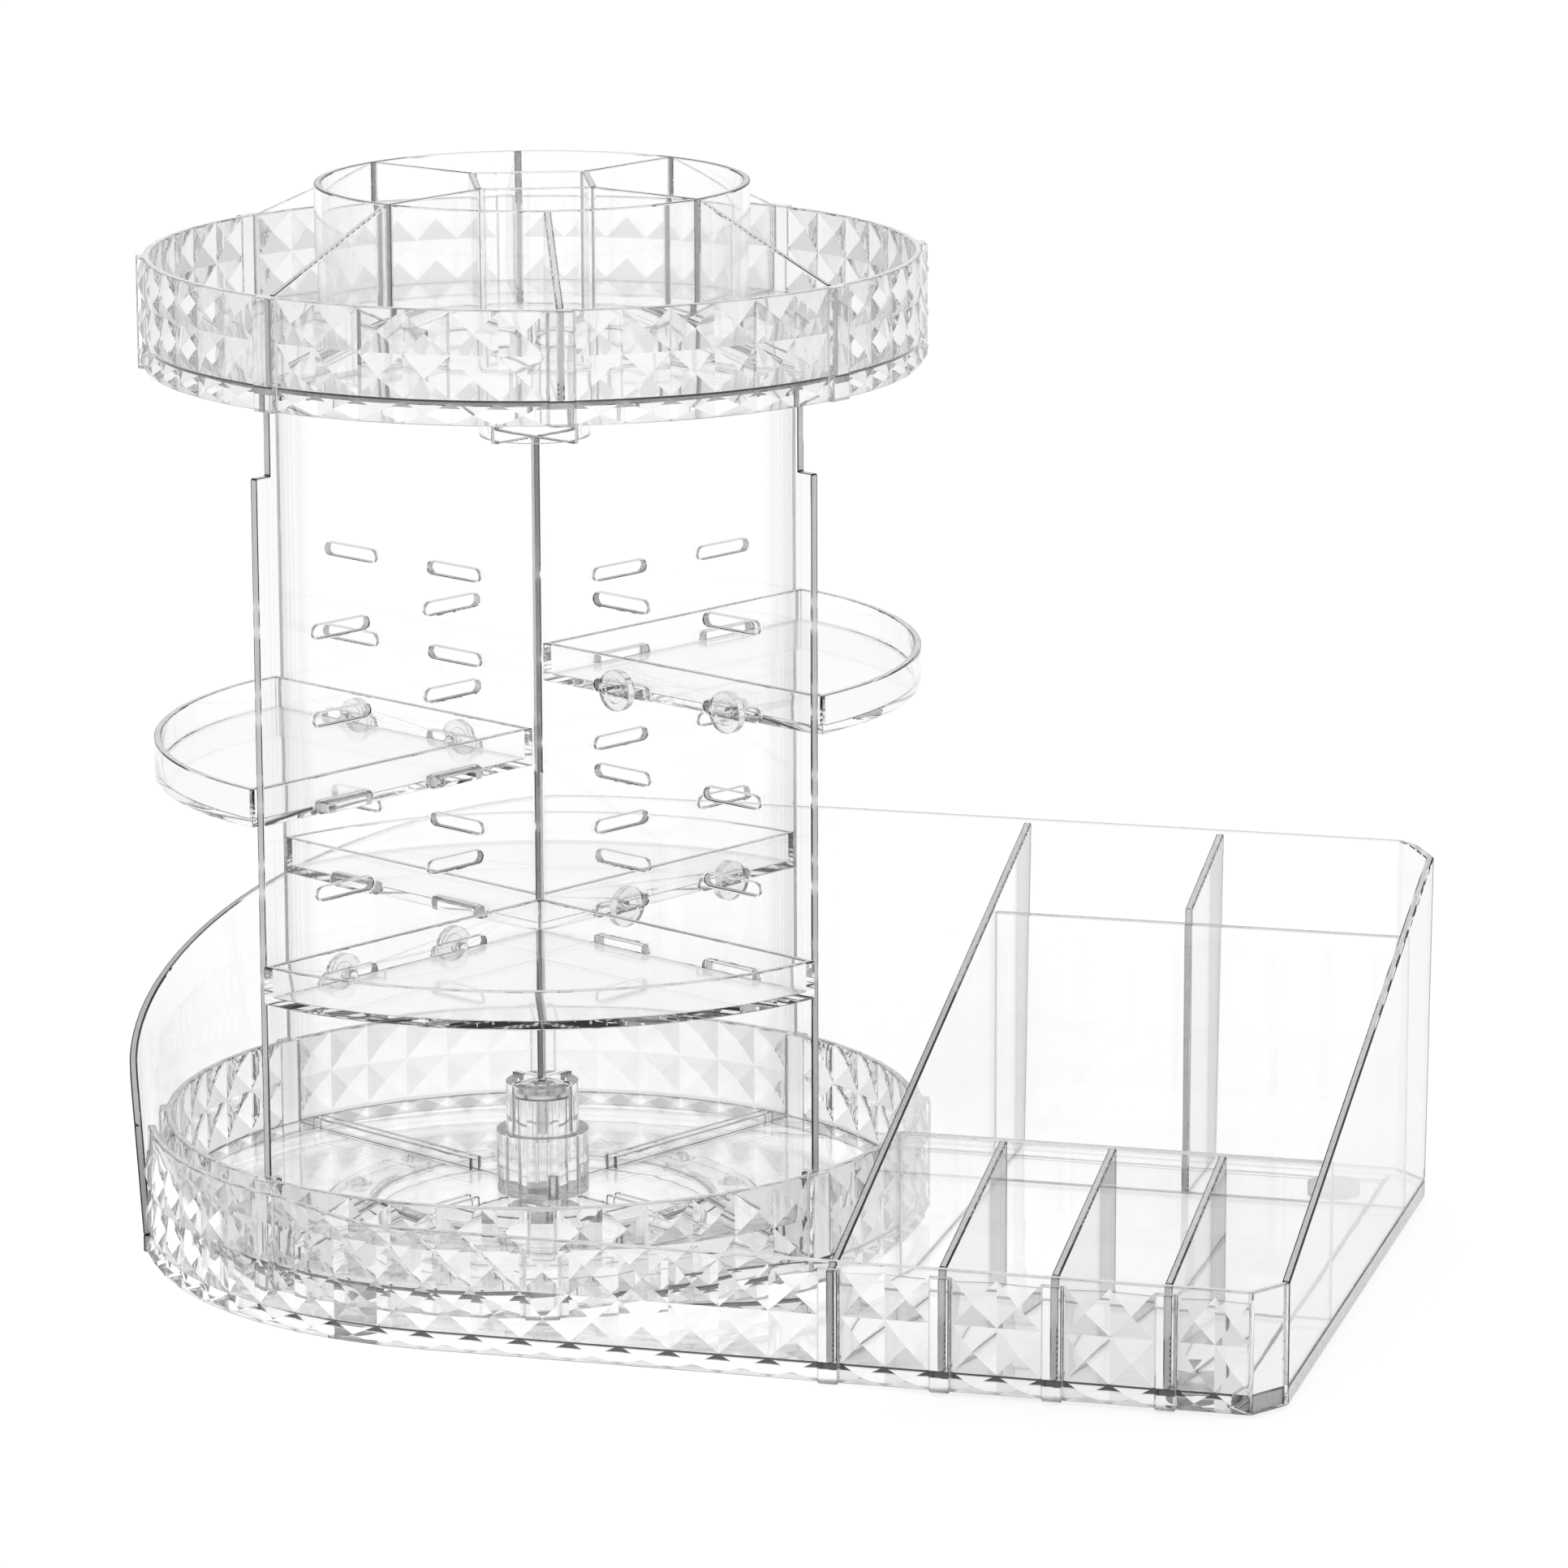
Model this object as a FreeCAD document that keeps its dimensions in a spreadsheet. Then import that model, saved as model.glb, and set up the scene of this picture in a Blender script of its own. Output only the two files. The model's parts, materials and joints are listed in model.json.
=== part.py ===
import FreeCAD, Part
import Sketcher
import math
import os
import re

# Rotating vanity organizer in clear moulded plastic, in millimetres, +Z up.
# A base with a round end and a box end stands on rubber feet. A ball race on the floor of the round end
# carries a turning tray, two slotted boards crossed on that tray carry four quarter-round shelves, and a
# round top tray sits on the boards. All pieces are drawn about the turning axis and then set in place so
# that the middle of the whole footprint is the origin.

SIZES = (
    ("base_radius", 121.5, "outside radius of the base's round end"),
    ("box_length", 130.5, "middle of the box's left wall to the outside of the right end"),
    ("base_wall", 2.4, "base and box walls"),
    ("base_floor", 2.4, "base floor plate"),
    ("foot_height", 4.1, "table to the underside of the floor plate"),
    ("skirt_gap", 1.0, "table to the lower edge of the base's skirt"),
    ("front_height", 37.0, "table to the top of the front wall"),
    ("band_rise", 4.0, "low wall round the left end over the front wall"),
    ("back_height", 110.0, "table to the top of the back wall"),
    ("back_flare", 6.0, "outward lean of the tall wall over its height"),
    ("tall_end_angle", 22.75, "angle past the left that the tall wall reaches"),
    ("tall_end_round", 16.0, "length of the rounded drop at the end of the tall wall"),
    ("corner_length", 8.0, "front right corner, along the front"),
    ("corner_depth", 14.0, "front right corner, along the side"),
    ("back_corner", 12.0, "back right corner"),
    ("ramp_start", -45.0, "along the front, where the low wall starts to drop"),
    ("ramp_end", -17.0, "along the front, where the low wall reaches the front height"),
    ("facet_width", 14.0, "width aimed at for one pyramid"),
    ("facet_depth", 2.0, "height of the pyramids over the wall"),
    ("plinth_row", 6.0, "low bottom row of pyramids on the base"),
    ("rim_margin", 2.0, "plain margin above the pyramids on the front"),
    ("base_pilaster", 6.0, "plain strip at the end of each box wall"),
    ("back_row", 44.5, "back of the base to the middle of the back cross wall"),
    ("front_row", 79.5, "front of the base to the middle of the front cross wall"),
    ("cross_drop", 3.8, "tops of the cross walls under the sloping tops"),
    ("divider_place", 61.5, "middle of the box's left wall to the middle of the back divider"),
    ("seam", 0.05, "gap where plates are bonded edge to face"),
    ("foot_diameter", 14.0, "rubber feet"),
    ("foot_inset", 16.0, "edge of the base to the middle of a foot"),
    ("race_radius", 60.0, "pitch radius of the ball race"),
    ("race_gap", 7.7, "base floor to the underside of the turning tray"),
    ("ball_play", 0.1, "total play of a ball in height"),
    ("cage_width", 12.0, "radial width of the cage"),
    ("cage_height", 3.0, "thickness of the cage"),
    ("cage_play", 0.3, "play of a ball in its pocket and of the cage between its ribs"),
    ("race_rib", 1.6, "thickness of the ribs that centre the cage"),
    ("race_rib_height", 4.0, "height of the ribs that centre the cage"),
    ("spindle_diameter", 10.0, "post that the hub turns on"),
    ("spindle_flange", 22.0, "flange at the foot of the post"),
    ("spindle_flange_height", 2.0, "thickness of that flange"),
    ("spindle_play", 0.05, "running fit of the hub on the post"),
    ("hub_low_diameter", 30.0, "lower step of the hub"),
    ("hub_low_height", 19.0, "height of the lower step"),
    ("hub_top_diameter", 24.0, "upper step of the hub"),
    ("hub_height", 34.0, "height of the hub over the turning tray's floor"),
    ("hub_recess", 4.5, "depth of the recess for the washer"),
    ("washer_diameter", 16.0, "washer over the hub's shoulder"),
    ("washer_height", 1.2, "thickness of the washer"),
    ("washer_play", 0.3, "end play of the hub under the washer"),
    ("screw_diameter", 4.0, "spindle screw's thread"),
    ("screw_length", 14.0, "spindle screw under its head"),
    ("screw_head", 8.0, "spindle screw's head"),
    ("screw_head_height", 2.4, "height of that head"),
    ("driver_width", 2.4, "drive recess in a screw head"),
    ("driver_depth", 1.2, "depth of a drive recess"),
    ("hub_screw_diameter", 3.0, "screws that hold the hub on the tray"),
    ("hub_screw_length", 9.0, "those screws under their heads"),
    ("hub_screw_head", 5.6, "heads of those screws"),
    ("hub_screw_head_height", 1.8, "height of those heads"),
    ("hub_screw_circle", 10.2, "radius of the circle of those screws"),
    ("hole_play", 0.1, "radial play of a screw in its hole"),
    ("turn_gap", 1.1, "turning tray to the inside of the low wall"),
    ("tray_wall", 2.4, "rims of both trays"),
    ("tray_floor", 2.4, "floors of both trays"),
    ("turn_rim_height", 26.4, "rim of the turning tray over its floor"),
    ("turn_skirt", 4.0, "skirt of the turning tray under its floor"),
    ("channel_rib", 1.6, "ribs beside the boards' edges"),
    ("channel_height", 4.0, "height of those ribs"),
    ("channel_inner", 30.0, "turning axis to the near end of those ribs"),
    ("channel_end", 9.0, "end of a board to the far end of those ribs"),
    ("board_thickness", 3.0, "crossed boards"),
    ("board_height", 259.3, "height of the boards"),
    ("board_inset", 2.7, "outside of the turning tray to the end of a board"),
    ("board_low_gap", 2.6, "end of a board to the inside of the turning tray's rim"),
    ("board_top_gap", 4.6, "end of a board to the inside of the top tray's rim"),
    ("board_top_step", 25.0, "height of the narrower top"),
    ("board_play", 0.2, "play of a board in what it fits"),
    ("slot_length", 22.0, "slots in the boards"),
    ("slot_height", 3.6, "height of a slot"),
    ("slot_near", 36.0, "turning axis to the middle of the near slots"),
    ("slot_inset", 32.3, "end of a board to the middle of the far slots"),
    ("slot_first", 82.1, "turning tray's floor to the middle of the lowest slots"),
    ("slot_pitch", 26.0, "slot row to slot row"),
    ("shelf_inset", 1.2, "outside of the turning tray to the outside of a shelf"),
    ("shelf_height", 11.5, "height of a shelf's rim"),
    ("shelf_wall", 2.2, "shelf's rim and floor"),
    ("shelf_rise", 2.5, "underside of a shelf to the middle of its slots"),
    ("shelf_play", 0.3, "gap between a shelf and the boards"),
    ("tab_tip", 2.0, "length past the board of the tabs that hook a shelf into its slots"),
    ("thumb_diameter", 12.4, "thumb screw's head"),
    ("thumb_height", 2.7, "thickness of that head"),
    ("thumb_recess", 7.6, "dished middle of that head"),
    ("thumb_recess_depth", 0.9, "depth of the dish"),
    ("top_overhang", 1.0, "outside of the top tray past the outside of the turning tray"),
    ("top_rim_height", 26.0, "rim of the top tray over its floor"),
    ("top_skirt", 4.6, "skirt of the top tray under its floor"),
    ("top_pilaster", 7.5, "plain strip between the sectors of the trays' rims"),
    ("collar_diameter", 35.0, "collar under the top tray"),
    ("collar_height", 27.0, "length of the collar"),
    ("collar_play", 0.5, "gap between the collar or hub and the boards"),
    ("ring_radius", 64.3, "outside radius of the raised ring"),
    ("ring_height", 46.6, "height of the ring over the top tray's floor"),
    ("ring_wall", 2.2, "ring, tube and radial walls"),
    ("tube_width", 36.0, "square tube in the middle"),
    ("tube_corner", 4.0, "rounding of the tube's corners"),
    ("tower_angle", 62.0, "rest angle of the tower"),
    ("tray_angle", 4.0, "rest angle of the top tray past the boards"),
)
ROW_COUNT = 5
BALL_COUNT = 12
SECTORS = 8
SECTOR_COLUMNS = 6
HUB_SCREWS = 3
BAYS = 4

doc = FreeCAD.newDocument("vanity_organizer")
sheet = doc.addObject("Spreadsheet::Sheet", "Sizes")
for line, (alias, number, meaning) in enumerate(SIZES, start=1):
    sheet.set(f"A{line}", meaning)
    sheet.set(f"B{line}", str(number))
    sheet.setAlias(f"B{line}", alias)
doc.recompute()
ALIASES = {alias for alias, number, meaning in SIZES}


def formula(text):
    """Point every size named in the text at its cell."""
    def cell(word):
        return f"Sizes.{word[0]}" if word[0] in ALIASES else word[0]
    return re.sub(r"[a-z][a-z_]*", cell, text)


def value(text):
    """The number that a formula gives now."""
    return float(sheet.evalExpression(formula(text)))


def bind(thing, **formulas):
    for prop, text in formulas.items():
        thing.setExpression(prop, formula(text))


def seat(thing, x=None, y=None, z=None, turn=None):
    """Tie a piece's place, and its turn about +Z, to the sizes."""
    for path, text in (("Base.x", x), ("Base.y", y), ("Base.z", z), ("Rotation.Angle", turn)):
        if text is not None:
            thing.setExpression(f"Placement.{path}", formula(text))
    return thing


# Heights over the table
FLOOR = "(foot_height + base_floor)"
TURN_UNDER = f"({FLOOR} + race_gap)"
TURN_FLOOR = f"({TURN_UNDER} + tray_floor)"
TURN_RIM = f"({TURN_FLOOR} + turn_rim_height)"
BOARD_TOP = f"({TURN_FLOOR} + board_height)"
TOP_FLOOR = f"({BOARD_TOP} + tray_floor)"
RING_TOP = f"({TOP_FLOOR} + ring_height)"
TOP_RIM = f"({TOP_FLOOR} + top_rim_height)"
HUB_TOP = f"({TURN_FLOOR} + hub_height)"
SHOULDER = f"({HUB_TOP} - hub_recess)"
SPINDLE_TOP = f"({SHOULDER} + washer_play)"
NOTCH_BOTTOM = f"({BOARD_TOP} - collar_height - collar_play)"
SLOT_FIRST = f"({TURN_FLOOR} + slot_first)"
BAND_TOP = "(front_height + band_rise)"

# Places out from the turning axis
VALLEY = "(base_radius - facet_depth)"
BOX_LEFT = "base_radius"
BOX_REACH = f"({BOX_LEFT} + box_length)"
BACK_CROSS = "(base_radius - back_row)"
FRONT_CROSS = "(front_row - base_radius)"
TURN_RADIUS = f"({VALLEY} - base_wall - turn_gap)"
TURN_INNER = f"({TURN_RADIUS} - facet_depth - tray_wall)"
TOP_RADIUS = f"({TURN_RADIUS} + top_overhang)"
TOP_INNER = f"({TOP_RADIUS} - facet_depth - tray_wall)"
BOARD_REACH = f"({TURN_RADIUS} - board_inset)"
BOARD_LOW_REACH = f"({TURN_INNER} - board_low_gap)"
BOARD_TOP_REACH = f"({TOP_INNER} - board_top_gap)"
SLOT_FAR = f"({BOARD_REACH} - slot_inset)"
SHELF_RADIUS = f"({TURN_RADIUS} - shelf_inset)"

# The sloping tops run from the front right corner's height up to the back wall's
CORNER_Y = "(base_radius - corner_depth)"
SLOPE = f"((back_height - front_height) / (base_radius + {CORNER_Y}))"
MID_HEIGHT = f"(front_height + {SLOPE} * {CORNER_Y})"
LEFT_REACH = f"(base_radius + back_flare * ({MID_HEIGHT} - {FLOOR}) / (back_height - {FLOOR}))"
AXIS_X = f"(({LEFT_REACH} - {BOX_REACH}) / 2)"
AXIS_Y = "(0 - back_flare / 2)"
BAY = f"(box_length / {BAYS})"
HOLLOW_END = f"({BOX_REACH} - back_corner - base_wall)"


def slope_height(y):
    """Height of the sloping tops at a place along Y."""
    return f"({MID_HEIGHT} + {SLOPE} * ({y}))"


def box(name, length, width, height, x="0", y="0", z="0"):
    solid = doc.addObject("Part::Box", name)
    bind(solid, Length=length, Width=width, Height=height)
    return seat(solid, x, y, z)


def rod(name, radius, height, x="0", y="0", z="0"):
    solid = doc.addObject("Part::Cylinder", name)
    bind(solid, Radius=radius, Height=height)
    return seat(solid, x, y, z)


def cross_rod(name, radius, height, x, y, z):
    """A round rod that points along +Y."""
    solid = doc.addObject("Part::Cylinder", name)
    bind(solid, Radius=radius, Height=height)
    solid.Placement.Rotation = FreeCAD.Rotation(FreeCAD.Vector(1, 0, 0), -90)
    return seat(solid, x, y, z)


def fuse(name, solids):
    joined = doc.addObject("Part::MultiFuse", name)
    joined.Shapes = solids
    joined.Refine = True
    return joined


def cut(name, solid, tool):
    left = doc.addObject("Part::Cut", name)
    left.Base = solid
    left.Tool = tool
    left.Refine = True
    return left


def common(name, solids):
    shared = doc.addObject("Part::MultiCommon", name)
    shared.Shapes = solids
    return shared


def group(name, solids):
    together = doc.addObject("Part::Compound", name)
    together.Links = solids
    return together


def drawn(name, shape):
    """A piece whose faces are worked out here from the sizes."""
    feature = doc.addObject("Part::Feature", name)
    feature.Shape = shape
    return feature


def turned(name, solid, angle):
    """A copy's turn about the axis by a fixed share of the circle."""
    copy = group(name, [solid])
    copy.Placement = FreeCAD.Placement(FreeCAD.Vector(), FreeCAD.Rotation(FreeCAD.Vector(0, 0, 1), angle))
    return copy


def on_base(node, x="0", y="0", z="0"):
    seat(node, f"{AXIS_X} + {x}", f"{AXIS_Y} + {y}", z)
    return node


def on_tower(node, angle="0"):
    seat(node, AXIS_X, AXIS_Y, "0", f"tower_angle + {angle}")
    return node


def new_sketch(body, name, role):
    sketch = body.newObject("Sketcher::SketchObject", name)
    for feature in body.Origin.OriginFeatures:
        if feature.Role == role:
            sketch.AttachmentSupport = [(feature, "")]
    sketch.MapMode = "FlatFace"
    return sketch


def fix_point(sketch, geometry, point, x, y):
    """Tie a point of the sketch to formulas for its place."""
    for kind, text in (("DistanceX", x), ("DistanceY", y)):
        index = sketch.addConstraint(Sketcher.Constraint(kind, -1, 1, geometry, point, value(text)))
        sketch.setExpression(f"Constraints[{index}]", formula(text))


def polygon(sketch, points):
    spots = [FreeCAD.Vector(value(x), value(y), 0) for x, y in points]
    count = len(points)
    lines = [sketch.addGeometry(Part.LineSegment(spots[i], spots[(i + 1) % count])) for i in range(count)]
    for i in range(count):
        sketch.addConstraint(Sketcher.Constraint("Coincident", lines[i], 2, lines[(i + 1) % count], 1))
    for index, (x, y) in zip(lines, points):
        fix_point(sketch, index, 1, x, y)


def slot(sketch, x, y, length, height):
    """A level slot with round ends about a point."""
    radius = f"({height} / 2)"
    left = f"({x} - {length} / 2 + {radius})"
    right = f"({x} + {length} / 2 - {radius})"
    low = value(f"{y} - {radius}")
    high = value(f"{y} + {radius}")
    bottom = sketch.addGeometry(Part.LineSegment(
        FreeCAD.Vector(value(left), low, 0), FreeCAD.Vector(value(right), low, 0)))
    end_right = sketch.addGeometry(Part.ArcOfCircle(Part.Circle(
        FreeCAD.Vector(value(right), value(y), 0), FreeCAD.Vector(0, 0, 1), value(radius)),
        -math.pi / 2, math.pi / 2))
    top = sketch.addGeometry(Part.LineSegment(
        FreeCAD.Vector(value(right), high, 0), FreeCAD.Vector(value(left), high, 0)))
    end_left = sketch.addGeometry(Part.ArcOfCircle(Part.Circle(
        FreeCAD.Vector(value(left), value(y), 0), FreeCAD.Vector(0, 0, 1), value(radius)),
        math.pi / 2, 3 * math.pi / 2))
    for first, second in ((bottom, end_right), (end_right, top), (top, end_left), (end_left, bottom)):
        sketch.addConstraint(Sketcher.Constraint("Tangent", first, 2, second, 1))
    sketch.addConstraint(Sketcher.Constraint("Horizontal", bottom))
    sketch.addConstraint(Sketcher.Constraint("Equal", end_right, end_left))
    fixed = sketch.addConstraint(Sketcher.Constraint("Radius", end_right, value(radius)))
    sketch.setExpression(f"Constraints[{fixed}]", formula(radius))
    fix_point(sketch, end_right, 3, right, y)
    fixed = sketch.addConstraint(Sketcher.Constraint("DistanceX", -1, 1, end_left, 3, value(left)))
    sketch.setExpression(f"Constraints[{fixed}]", formula(left))


def plate(name, role, points, thickness):
    """A flat plate of the given outline, its thickness to one side of the sketch plane."""
    body = doc.addObject("PartDesign::Body", name)
    sketch = new_sketch(body, f"{name}_outline", role)
    polygon(sketch, points)
    pad = body.newObject("PartDesign::Pad", f"{name}_pad")
    pad.Profile = sketch
    bind(pad, Length=thickness)
    sketch.Visibility = False
    return body


def turning(name, points):
    """A round piece turned about +Z from half its section."""
    body = doc.addObject("PartDesign::Body", name)
    sketch = new_sketch(body, f"{name}_section", "XZ_Plane")
    polygon(sketch, points)
    turn = body.newObject("PartDesign::Revolution", f"{name}_turn")
    turn.Profile = sketch
    turn.ReferenceAxis = (sketch, ["V_Axis"])
    turn.Angle = 360
    return body


def solid_from(faces):
    """One closed solid from flat faces that share their edges."""
    shell = Part.makeShell(faces)
    shell.sewShape()
    solid = Part.makeSolid(shell)
    if solid.Volume < 0:
        solid.reverse()
    return solid


def flat(*points):
    return Part.Face(Part.makePolygon(list(points) + [points[0]]))


def facet_faces(low_left, low_right, rise, tip):
    """The four sides of a pyramid on an upright cell, or the cell itself where there is no tip."""
    lift = FreeCAD.Vector(0, 0, rise)
    corners = [low_left, low_right, low_right + lift, low_left + lift]
    if tip is None:
        return [flat(*corners)]
    return [flat(corners[i], corners[(i + 1) % 4], tip) for i in range(4)]


def around(radius, angle, z=0.0):
    return FreeCAD.Vector(radius * math.cos(math.radians(angle)), radius * math.sin(math.radians(angle)), z)


def faceted_disc(radius, depth, pilaster, levels):
    """A full disc whose edge carries rows of pyramids in sectors, between strips as proud as their tips."""
    valley = radius - depth
    plain = math.degrees(pilaster / valley)
    step = (360 / SECTORS - plain) / SECTOR_COLUMNS
    faces = []
    outline = []
    for sector in range(SECTORS):
        middle = sector * 360 / SECTORS
        first = around(valley, middle - plain / 2)
        last = around(valley, middle + plain / 2)
        out = around(depth, middle)
        strip = [first, first + out, last + out, last]
        for low, high in zip(levels, levels[1:]):
            up = FreeCAD.Vector(0, 0, low)
            for left, right in zip(strip, strip[1:]):
                faces += facet_faces(left + up, right + up, high - low, None)
        outline += strip
        for column in range(SECTOR_COLUMNS):
            angle = middle + plain / 2 + column * step
            left = around(valley, angle)
            right = around(valley, angle + step)
            for low, high in zip(levels, levels[1:]):
                up = FreeCAD.Vector(0, 0, low)
                tip = around(radius, angle + step / 2, (low + high) / 2)
                faces += facet_faces(left + up, right + up, high - low, tip)
            if column > 0:
                outline.append(left)
    for z in (levels[0], levels[-1]):
        faces.append(flat(*[point + FreeCAD.Vector(0, 0, z) for point in outline]))
    return solid_from(faces)


def channels(name, reach, z):
    """Pairs of ribs on both sides of the four half boards."""
    ribs = []
    for wing in range(4):
        for side, y in (("left", "board_thickness / 2 + board_play"),
                        ("right", "0 - board_thickness / 2 - board_play - channel_rib")):
            rib = box(f"{name}_rib_{wing}_{side}", f"{reach} - channel_end - channel_inner", "channel_rib",
                      "channel_height", "channel_inner", y, z)
            ribs.append(turned(f"{name}_channel_{wing}_{side}", rib, wing * 90))
    return ribs


def inset(points, distance):
    """The corners of an open line of points moved to its left by a distance."""
    moved = []
    for index, point in enumerate(points):
        before = points[max(index - 1, 0)]
        after = points[min(index + 1, len(points) - 1)]
        here = [(b - a).normalize() for a, b in ((before, point), (point, after)) if (b - a).Length > 0]
        sides = [FreeCAD.Vector(-way.y, way.x, 0) for way in here]
        middle = sides[0] + sides[-1]
        moved.append(point + middle * (distance * 2 / middle.dot(middle) if len(sides) > 1 else distance / 2))
    return moved


nodes = []


# Base: low faceted wall

valley_radius = value(VALLEY)
start_angle = 180 + value("tall_end_angle")
arc_length = math.radians(270 - start_angle) * valley_radius
low_count = max(1, round(arc_length / value("facet_width")))
arc_step = (270 - start_angle) / low_count
front_y = -valley_radius
columns = [(around(valley_radius, start_angle + i * arc_step), True) for i in range(low_count)]
first_strip = value(f"{BOX_LEFT} - base_pilaster / 2")
front_count = max(1, round(first_strip / value("facet_width")))
for i in range(front_count):
    columns.append((FreeCAD.Vector(first_strip * i / front_count, front_y, 0), True))
for bay in range(BAYS):
    left = first_strip + bay * value(BAY)
    right = value(f"{BOX_REACH} - corner_length") if bay == BAYS - 1 else left + value(BAY)
    inner = left + value("base_pilaster")
    columns.append((FreeCAD.Vector(left, front_y, 0), False))
    columns.append((FreeCAD.Vector(inner, front_y, 0), True))
    columns.append((FreeCAD.Vector((inner + right) / 2, front_y, 0), True))
corner_points = [
    FreeCAD.Vector(value(f"{BOX_REACH} - corner_length"), front_y, 0),
    FreeCAD.Vector(value(BOX_REACH), -value(CORNER_Y), 0),
    FreeCAD.Vector(value(BOX_REACH), 0, 0),
]
outer = [point for point, pointed in columns] + corner_points
before = around(valley_radius, start_angle - arc_step)
low_inner = inset([before] + outer, value("base_wall"))[1:]
pointed_columns = [pointed for point, pointed in columns] + [False]
facet_top = value("front_height - rim_margin")
plinth_top = value("skirt_gap + plinth_row")
levels = [value("skirt_gap"), plinth_top, (plinth_top + facet_top) / 2, facet_top, value(BAND_TOP)]
faces = []
for i, pointed in enumerate(pointed_columns):
    way = (outer[i + 1] - outer[i]).normalize()
    out = FreeCAD.Vector(way.y, -way.x, 0)
    for row, (low, high) in enumerate(zip(levels, levels[1:])):
        tip = None
        if pointed and row < len(levels) - 2:
            tip = (outer[i] + outer[i + 1]) / 2 + out * value("facet_depth")
            tip.z = (low + high) / 2
        up = FreeCAD.Vector(0, 0, low)
        faces += facet_faces(outer[i] + up, outer[i + 1] + up, high - low, tip)
    bottom = FreeCAD.Vector(0, 0, levels[0])
    top = FreeCAD.Vector(0, 0, levels[-1])
    faces.append(flat(low_inner[i] + bottom, low_inner[i + 1] + bottom, low_inner[i + 1] + top,
                      low_inner[i] + top))
    for z in (bottom, top):
        faces.append(flat(outer[i] + z, outer[i + 1] + z, low_inner[i + 1] + z, low_inner[i] + z))
for i in (0, len(pointed_columns)):
    edge = [outer[i] + FreeCAD.Vector(0, 0, z) for z in levels]
    faces.append(flat(*edge, low_inner[i] + FreeCAD.Vector(0, 0, levels[-1]),
                      low_inner[i] + FreeCAD.Vector(0, 0, levels[0])))
low_wall = drawn("low_wall", solid_from(faces))

front_strips = []
for bay in range(BAYS):
    front_strips.append(box(
        f"front_strip_{bay}", "base_pilaster", "facet_depth + base_wall / 2",
        "front_height - rim_margin - skirt_gap", f"{BOX_LEFT} - base_pilaster / 2 + {bay} * {BAY}",
        "0 - base_radius", "skirt_gap"))
front_solid = fuse("front_solid", [low_wall] + front_strips)
front_drop = plate("front_drop", "XZ_Plane", [
    ("ramp_start", BAND_TOP),
    ("ramp_end", "front_height"),
    (f"{BOX_REACH} + base_wall", "front_height"),
    (f"{BOX_REACH} + base_wall", f"{BAND_TOP} + base_wall"),
    ("ramp_start", f"{BAND_TOP} + base_wall"),
], "2 * base_radius")
seat(front_drop, y="base_radius")
nodes.append(on_base(cut("base_front_wall", front_solid, front_drop)))


# Base: floor plate, inside the low wall and under the tall wall

base_radius = value("base_radius")
seam = value("seam")
reach = value(BOX_REACH)
back_corner = value("back_corner")
low_edge = inset([before] + outer, value("base_wall + seam"))[1:len(columns) + 3]
plate_points = low_edge + [
    FreeCAD.Vector(reach, seam - value(CORNER_Y), 0),
    FreeCAD.Vector(reach, base_radius - back_corner, 0),
    FreeCAD.Vector(reach - back_corner, base_radius, 0),
    FreeCAD.Vector(0, base_radius, 0),
]
floor_edges = [Part.LineSegment(a, b).toShape() for a, b in zip(plate_points, plate_points[1:])]
floor_end = start_angle - math.degrees(seam / base_radius)
floor_edges.append(Part.Arc(around(base_radius, 90), around(base_radius, (90 + floor_end) / 2),
                            around(base_radius, floor_end)).toShape())
floor_edges.append(Part.LineSegment(around(base_radius, floor_end), low_edge[0]).toShape())
floor_face = Part.Face(Part.Wire(floor_edges))
floor_face.translate(FreeCAD.Vector(0, 0, value("skirt_gap")))
floor_solid = drawn("floor_solid", floor_face.extrude(FreeCAD.Vector(0, 0, value(f"{FLOOR} - skirt_gap"))))
hollow_round = rod("hollow_round", f"{VALLEY} - 2 * base_wall", "foot_height - skirt_gap", z="skirt_gap")
hollow_box = box("hollow_box", HOLLOW_END, f"2 * ({VALLEY} - 2 * base_wall)",
                 "foot_height - skirt_gap", "0", f"0 - {VALLEY} + 2 * base_wall", "skirt_gap")
spindle_hole = rod("spindle_screw_hole", "hub_screw_diameter / 2 + hole_play", "2 * base_floor",
                   z="foot_height - base_floor / 2")
floor_cuts = fuse("floor_cuts", [hollow_round, hollow_box, spindle_hole])
nodes.append(on_base(cut("base_floor_plate", floor_solid, floor_cuts)))

race_ribs = []
for side, radius in (("inner", "(race_radius - cage_width / 2 - cage_play)"),
                     ("outer", "(race_radius + cage_width / 2 + cage_play + race_rib)")):
    rib_full = rod(f"race_rib_{side}_full", radius, "race_rib_height", z=FLOOR)
    rib_bore = rod(f"race_rib_{side}_bore", f"{radius} - race_rib", "race_rib_height", z=FLOOR)
    race_ribs.append(cut(f"race_rib_{side}", rib_full, rib_bore))
nodes.append(on_base(group("race_ribs", race_ribs)))


# Base: tall wall round the left, the back and the right end

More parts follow.
